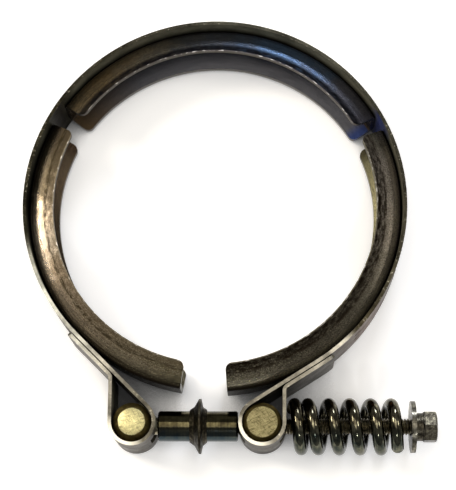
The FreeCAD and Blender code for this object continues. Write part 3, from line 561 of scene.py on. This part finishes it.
def buildSpring():
    tree, size = startTree("springCoil", spring)
    line = addNode(tree, "GeometryNodeMeshLine", {"Count": size["Points"]})
    index = addNode(tree, "GeometryNodeInputIndex")
    last = addNode(tree, "ShaderNodeMath", {0: size["Points"], 1: 1.0}, operation="SUBTRACT")
    share = addNode(tree, "ShaderNodeMath", {0: index, 1: last}, operation="DIVIDE")
    middle = addNode(tree, "ShaderNodeMath", {0: size["Left Turns"], 1: size["Open Turns"]}, operation="ADD")
    turns = addNode(tree, "ShaderNodeMath", {0: middle, 1: size["Right Turns"]}, operation="ADD")
    wound = addNode(tree, "ShaderNodeMath", {0: share, 1: turns}, operation="MULTIPLY")
    # closed pitch all the way, and the open coils' extra pitch between the two closed ends
    opened = addNode(tree, "ShaderNodeMath", {0: wound, 1: size["Left Turns"]}, operation="SUBTRACT")
    opened = addNode(tree, "ShaderNodeMath", {0: opened, 1: 0.0, 2: springBlend}, operation="SMOOTH_MAX")
    opened = addNode(tree, "ShaderNodeMath", {0: opened, 1: size["Open Turns"], 2: springBlend},
                     operation="SMOOTH_MIN")
    extra = addNode(tree, "ShaderNodeMath", {0: size["Open Pitch"], 1: size["Closed Pitch"]}, operation="SUBTRACT")
    extra = addNode(tree, "ShaderNodeMath", {0: opened, 1: extra}, operation="MULTIPLY")
    along = addNode(tree, "ShaderNodeMath", {0: wound, 1: size["Closed Pitch"], 2: extra}, operation="MULTIPLY_ADD")
    along = addNode(tree, "ShaderNodeMath", {0: along, 1: size["Start"]}, operation="ADD")
    swung = addNode(tree, "ShaderNodeMath", {0: wound, 1: size["Left Turns"]}, operation="SUBTRACT")
    swung = addNode(tree, "ShaderNodeMath", {0: swung, 1: 2 * math.pi}, operation="MULTIPLY")
    across = addNode(tree, "ShaderNodeMath", {0: swung}, operation="COSINE")
    across = addNode(tree, "ShaderNodeMath", {0: across, 1: size["Coil Radius"], 2: size["Axis Y"]},
                     operation="MULTIPLY_ADD")
    up = addNode(tree, "ShaderNodeMath", {0: swung}, operation="SINE")
    up = addNode(tree, "ShaderNodeMath", {0: up, 1: size["Coil Radius"]}, operation="MULTIPLY")
    place = addNode(tree, "ShaderNodeCombineXYZ", {0: along, 1: across, 2: up})
    line = addNode(tree, "GeometryNodeSetPosition", {0: line, "Position": place})
    curve = addNode(tree, "GeometryNodeMeshToCurve", {0: line})
    section = addNode(tree, "GeometryNodeCurvePrimitiveCircle", {"Resolution": 20, "Radius": size["Wire Radius"]})
    coil = addNode(tree, "GeometryNodeCurveToMesh", {"Curve": curve, "Profile Curve": section, "Fill Caps": True})
    coil = addNode(tree, "GeometryNodeSetShadeSmooth", {0: coil})
    return runTree("springWire", tree, spring, coil, materials["drawnSpringWire"])


coil = buildSpring()
print("spring:", len(coil.data.polygons), "faces")


# T-bolt: a cross pin head, a plain shank and a rolled M6 thread
bolt = {
    "headRadius": pinCentre.x - pinLow.x, "headHalf": headHigh.z, "headChamfer": 0.002,
    "worn": 0.00015, "shankRadius": 0.003, "overlap": 0.0014, "sides": 72, "sharpFrom": 30,
}
thread = {
    "Sides": 40, "Rows": 8, "Start": sleeveHigh.x - 0.004, "End": headHigh.x, "Pitch": 0.001, "Radius": 0.00298,
    "Depth": 0.00058, "Tip Radius": 0.0022, "Axis Y": boltY,
}


def buildThread():
    tree, size = startTree("rolledThread", thread)
    length = addNode(tree, "ShaderNodeMath", {0: size["End"], 1: size["Start"]}, operation="SUBTRACT")
    length = addNode(tree, "ShaderNodeMath", {0: length, 1: size["Pitch"]}, operation="ADD")
    turns = addNode(tree, "ShaderNodeMath", {0: length, 1: size["Pitch"]}, operation="DIVIDE")
    turns = addNode(tree, "ShaderNodeMath", {0: turns}, operation="CEIL")
    rows = addNode(tree, "ShaderNodeMath", {0: turns, 1: size["Rows"], 2: 1.0}, operation="MULTIPLY_ADD")
    columns = addNode(tree, "ShaderNodeMath", {0: size["Sides"], 1: 1.0}, operation="ADD")
    grid = addNode(tree, "GeometryNodeMeshGrid", {"Size X": 1.0, "Size Y": 1.0, "Vertices X": columns,
                                                  "Vertices Y": rows})
    place = addNode(tree, "GeometryNodeInputPosition")
    place = addNode(tree, "ShaderNodeSeparateXYZ", {0: place}, out=None)
    swept = addNode(tree, "ShaderNodeMath", {0: place.outputs[0], 1: 0.5}, operation="ADD")
    down = addNode(tree, "ShaderNodeMath", {0: place.outputs[1], 1: 0.5}, operation="ADD")
    wound = addNode(tree, "ShaderNodeMath", {0: down, 1: turns}, operation="MULTIPLY")
    # a 60 degree form: the wave runs from crest to root and back once a pitch, cut off to flats at both
    crestEnd, rootStart = 0.06, 0.4
    phase = addNode(tree, "ShaderNodeMath", {0: wound, 1: 0.5}, operation="PINGPONG")
    form = addNode(tree, "ShaderNodeMapRange", {0: phase, 1: crestEnd, 2: rootStart, 3: 0.0, 4: 1.0})
    radius = addNode(tree, "ShaderNodeMath", {0: form, 1: size["Depth"]}, operation="MULTIPLY")
    radius = addNode(tree, "ShaderNodeMath", {0: size["Radius"], 1: radius}, operation="SUBTRACT")
    along = addNode(tree, "ShaderNodeMath", {0: wound, 1: swept}, operation="ADD")
    along = addNode(tree, "ShaderNodeMath", {0: along, 1: 1.0}, operation="SUBTRACT")
    along = addNode(tree, "ShaderNodeMath", {0: along, 1: size["Pitch"], 2: size["Start"]}, operation="MULTIPLY_ADD")
    along = addNode(tree, "ShaderNodeMath", {0: along, 1: size["Start"]}, operation="MAXIMUM")
    along = addNode(tree, "ShaderNodeMath", {0: along, 1: size["End"]}, operation="MINIMUM")
    for end in ("Start", "End"):  # the thread tapers off at both ends
        left = addNode(tree, "ShaderNodeMath", {0: along, 1: size[end]}, operation="SUBTRACT")
        left = addNode(tree, "ShaderNodeMath", {0: left}, operation="ABSOLUTE")
        left = addNode(tree, "ShaderNodeMath", {0: left, 1: size["Tip Radius"]}, operation="ADD")
        radius = addNode(tree, "ShaderNodeMath", {0: radius, 1: left}, operation="MINIMUM")
    swung = addNode(tree, "ShaderNodeMath", {0: swept, 1: 2 * math.pi}, operation="MULTIPLY")
    across = addNode(tree, "ShaderNodeMath", {0: swung}, operation="COSINE")
    across = addNode(tree, "ShaderNodeMath", {0: across, 1: radius, 2: size["Axis Y"]}, operation="MULTIPLY_ADD")
    up = addNode(tree, "ShaderNodeMath", {0: swung}, operation="SINE")
    up = addNode(tree, "ShaderNodeMath", {0: up, 1: radius}, operation="MULTIPLY")
    target = addNode(tree, "ShaderNodeCombineXYZ", {0: along, 1: across, 2: up})
    skin = addNode(tree, "GeometryNodeSetPosition", {0: grid, "Position": target})
    skin = addNode(tree, "GeometryNodeMergeByDistance", {0: skin, "Distance": 0.000002})
    return runTree("threadedShank", tree, thread, skin, materials["rolledThread"])


def lathe(build, profile, centre, along, across, sides):
    # Turns a profile of (along, radius) points into a closed skin about an axis
    side = along.cross(across)
    rings = []
    for reach, radius in profile:
        if radius == 0:
            rings.append([build.verts.new(centre + along * reach)])
            continue
        swing = [2 * math.pi * step / sides for step in range(sides)]
        rings.append([build.verts.new(centre + along * reach + across * radius * math.cos(a)
                                      + side * radius * math.sin(a)) for a in swing])
    for one, two in zip(rings, rings[1:]):
        for step in range(sides):
            following = (step + 1) % sides
            corners = [one[step % len(one)], one[following % len(one)],
                       two[following % len(two)], two[step % len(two)]]
            build.faces.new(list(dict.fromkeys(corners)))


def buildBolt():
    shank = buildThread()
    build = bmesh.new()
    half, radius = bolt["headHalf"], bolt["headRadius"]
    chamfer, worn = bolt["headChamfer"], bolt["worn"]  # worn softens both corners of the chamfer
    face = radius - chamfer
    upper = [(half, 0), (half, face - worn), (half - worn, face + worn), (half - chamfer + worn, radius - worn),
             (half - chamfer - worn, radius)]
    lower = [(-reach, wide) for reach, wide in reversed(upper)]
    lathe(build, upper + lower, Vector((headCentre.x, boltY, 0)), Vector((0, 0, 1)), Vector((1, 0, 0)), bolt["sides"])
    headFaces = len(build.faces)
    start, end, shankRadius = headCentre.x, thread["Start"] + bolt["overlap"], bolt["shankRadius"]
    lathe(build, [(start, 0), (start, shankRadius), (end, shankRadius), (end, 0)],
          Vector((0, boltY, 0)), Vector((1, 0, 0)), Vector((0, 1, 0)), bolt["sides"])
    build.from_mesh(shank.data)
    bmesh.ops.holes_fill(build, edges=[edge for edge in build.edges if edge.is_boundary], sides=0)
    bmesh.ops.recalc_face_normals(build, faces=build.faces)
    for number, skin in enumerate(build.faces):
        skin.material_index = 0 if number < headFaces else 1
        skin.smooth = True
    mesh = bpy.data.meshes.new("tBolt")
    build.to_mesh(mesh)
    build.free()
    mesh.materials.append(materials["head"])
    mesh.materials.append(materials["rolledThread"])
    mesh.set_sharp_from_angle(angle=math.radians(bolt["sharpFrom"]))
    bpy.data.objects.remove(shank)
    piece = bpy.data.objects.new("tBolt", mesh)
    bpy.context.collection.objects.link(piece)
    return piece


boltPiece = buildBolt()
print("bolt:", len(boltPiece.data.polygons), "faces")

# Spot-weld marks in pairs on the strap's outer face, behind each retainer
weld = {
    "Count": 8, "First Angle": 0.0, "Step": 0.0, "Ring Radius": ringRadius, "Half Apart": 0.004,
    "Mark Radius": 0.0015, "Mark Height": 0.0001, "Rim Radius": 0.0001,
}


def buildWelds(name, sizes):
    tree, size = startTree(name, sizes)
    line = addNode(tree, "GeometryNodeMeshLine", {"Count": size["Count"]})
    index = addNode(tree, "GeometryNodeInputIndex")
    half = addNode(tree, "ShaderNodeMath", {0: index, 1: 0.5}, operation="MULTIPLY")
    pair = addNode(tree, "ShaderNodeMath", {0: half}, operation="FLOOR")
    side = addNode(tree, "ShaderNodeMath", {0: half, 1: pair}, operation="SUBTRACT")
    up = addNode(tree, "ShaderNodeMath", {0: side, 1: 4.0, 2: -1.0}, operation="MULTIPLY_ADD")  # 0 or 0.5 to -1 or 1
    up = addNode(tree, "ShaderNodeMath", {0: up, 1: size["Half Apart"]}, operation="MULTIPLY")
    angle = addNode(tree, "ShaderNodeMath", {0: pair, 1: size["Step"], 2: size["First Angle"]},
                    operation="MULTIPLY_ADD")
    across = addNode(tree, "ShaderNodeMath", {0: angle}, operation="COSINE")
    along = addNode(tree, "ShaderNodeMath", {0: angle}, operation="SINE")
    outwards = addNode(tree, "ShaderNodeCombineXYZ", {0: across, 1: along})
    place = addNode(tree, "ShaderNodeVectorMath", {0: outwards, "Scale": size["Ring Radius"]}, operation="SCALE")
    place = addNode(tree, "ShaderNodeVectorMath", {0: place, 1: addNode(tree, "ShaderNodeCombineXYZ", {2: up})},
                    operation="ADD")
    points = addNode(tree, "GeometryNodeSetPosition", {0: line, "Position": place})
    pillow = addNode(tree, "GeometryNodeMeshUVSphere", {"Segments": 24, "Rings": 10, "Radius": size["Mark Radius"]})
    flatness = addNode(tree, "ShaderNodeMath", {0: size["Mark Height"], 1: size["Mark Radius"]}, operation="DIVIDE")
    flatness = addNode(tree, "ShaderNodeCombineXYZ", {0: 1.0, 1: 1.0, 2: flatness})
    pillow = addNode(tree, "GeometryNodeTransform", {0: pillow, "Scale": flatness})
    circle = addNode(tree, "GeometryNodeCurvePrimitiveCircle", {"Resolution": 32, "Radius": size["Mark Radius"]})
    section = addNode(tree, "GeometryNodeCurvePrimitiveCircle", {"Resolution": 8, "Radius": size["Rim Radius"]})
    rim = addNode(tree, "GeometryNodeCurveToMesh", {"Curve": circle, "Profile Curve": section})
    join = addNode(tree, "GeometryNodeJoinGeometry", out=None)
    for part in (pillow, rim):
        tree.links.new(part, join.inputs[0])
    turn = addNode(tree, "FunctionNodeAlignRotationToVector", {"Vector": outwards}, axis="Z")
    marks = addNode(tree, "GeometryNodeInstanceOnPoints", {
        "Points": points, "Instance": join.outputs[0], "Rotation": turn,
    })
    marks = addNode(tree, "GeometryNodeSetShadeSmooth", {0: marks})
    return runTree(name, tree, sizes, marks, materials["strip"])


for node, look in channels.items():
    first, step = look["welds"]
    sizes = dict(weld, **{"First Angle": math.radians(first), "Step": math.radians(step)})
    marks = buildWelds("spotWelds_" + node, sizes)
    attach(marks, "clamp_ring")
    print(marks.name, len(marks.data.polygons), "faces")

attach(boltPiece, "clamp_ring")
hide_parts("t_bolt")
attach(coil, "clamp_ring")
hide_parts("compression_spring")
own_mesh(coil)

# place in m, tilt and pan in degrees and lens in mm, matched to the photograph
view = {"place": (0.020, -0.152, 0.557), "tilt": 14.04, "pan": 1.54, "lens": 117.55}
camera = bpy.data.objects.new("camera", bpy.data.cameras.new("camera"))
camera.data.sensor_fit = "VERTICAL"
camera.data.sensor_height = 36
camera.data.lens = view["lens"]
camera.matrix_world = (
    Matrix.Translation(view["place"]) @ Matrix.Rotation(math.radians(view["tilt"]), 4, "X")
    @ Matrix.Rotation(math.radians(view["pan"]), 4, "Y")
)
bpy.context.collection.objects.link(camera)
bpy.context.scene.camera = camera

lamps = {
    # name: place, size, watts, colour
    "overhead": ((-0.10, 0.05, 1.25), 0.75, 5.0, "fff8ec"),
    "leftWindow": ((-0.78, 0.32, 0.88), 0.34, 7.0, "fff6e8"),
    "backWindow": ((0.27, 0.95, 0.60), 0.26, 4.6, "eef3ff"),
    "rightFill": ((0.76, 0.10, 0.78), 0.26, 1.7, "fffaf2"),
    "frontSpot": ((0.12, -0.78, 0.80), 0.09, 1.1, "ffffff"),
}
for name, (place, size, watts, code) in lamps.items():
    lamp = bpy.data.lights.new(name, "AREA")
    lamp.size = size
    lamp.energy = watts
    lamp.color = linear(code)[:3]
    holder = bpy.data.objects.new(name, lamp)
    holder.location = place
    holder.rotation_euler = Vector(place).to_track_quat("Z", "Y").to_euler()
    bpy.context.collection.objects.link(holder)

worldColour, worldStrength = "f4f4f4", 0.26
world = bpy.data.worlds.new("studio")
world.use_nodes = True
world.node_tree.nodes["Background"].inputs["Color"].default_value = linear(worldColour)
world.node_tree.nodes["Background"].inputs["Strength"].default_value = worldStrength
bpy.context.scene.world = world
bpy.context.scene.view_settings.view_transform = "Standard"

board = {
    "dark": "f3f2f0", "light": "fbfaf9", "glow": 0.38, "toothMm": 1.5,
    # in m: how far around it looks for what closes it in, half its size, and its gap under the strap
    "shadeReach": 0.03, "half": 3.0, "below": 0.00005,
}


def floorMaterial():
    # Matt white board with a faint tooth, and painted shadow where the clamp closes it in. It glows a little for the
    # camera and for reflections, less in its painted shadow, so that it looks white, but not in the light that it
    # sends back to the metal
    material, tree, coords = startMaterial("paleBoard")
    tooth = addNode(tree, "ShaderNodeTexNoise", {
        "Vector": coords.outputs["Object"], "Scale": perMm(board["toothMm"]), "Detail": 3.0,
    })
    colour = addNode(tree, "ShaderNodeMix", {0: tooth, 6: linear(board["dark"]), 7: linear(board["light"])}, out=2,
                     data_type="RGBA")
    # painted shadow: colour and glow are darkened where the clamp closes the board in
    openness = addNode(tree, "ShaderNodeAmbientOcclusion", {"Distance": board["shadeReach"]}, out=1, samples=16)
    openness = addNode(tree, "ShaderNodeMapRange", {0: openness, 1: 0.12, 2: 0.5, 3: 0.03, 4: 1.0})
    colour = addNode(tree, "ShaderNodeVectorMath", {0: colour, "Scale": openness}, operation="SCALE")
    rays = addNode(tree, "ShaderNodeLightPath", out=None).outputs
    seen = addNode(tree, "ShaderNodeMath", {0: rays["Is Camera Ray"], 1: rays["Is Glossy Ray"]}, operation="MAXIMUM")
    seen = addNode(tree, "ShaderNodeMath", {0: seen, 1: rays["Is Transmission Ray"]}, operation="MAXIMUM")
    glow = addNode(tree, "ShaderNodeMath", {0: seen, 1: openness}, operation="MULTIPLY")
    glow = addNode(tree, "ShaderNodeMath", {0: glow, 1: board["glow"]}, operation="MULTIPLY")
    surface = addNode(tree, "ShaderNodeBsdfPrincipled", {
        "Base Color": colour, "Roughness": 0.6, "Emission Color": linear("ffffff"), "Emission Strength": glow,
    })
    addNode(tree, "ShaderNodeOutputMaterial", {"Surface": surface}, out=None)
    return material


build = bmesh.new()
bmesh.ops.create_grid(build, x_segments=1, y_segments=1, size=board["half"])
bmesh.ops.translate(build, vec=(0, 0, strapLow.z - board["below"]), verts=build.verts)
floorMesh = bpy.data.meshes.new("floor")
build.to_mesh(floorMesh)
build.free()
floorMesh.materials.append(floorMaterial())
floor = bpy.data.objects.new("floor", floorMesh)
bpy.context.collection.objects.link(floor)
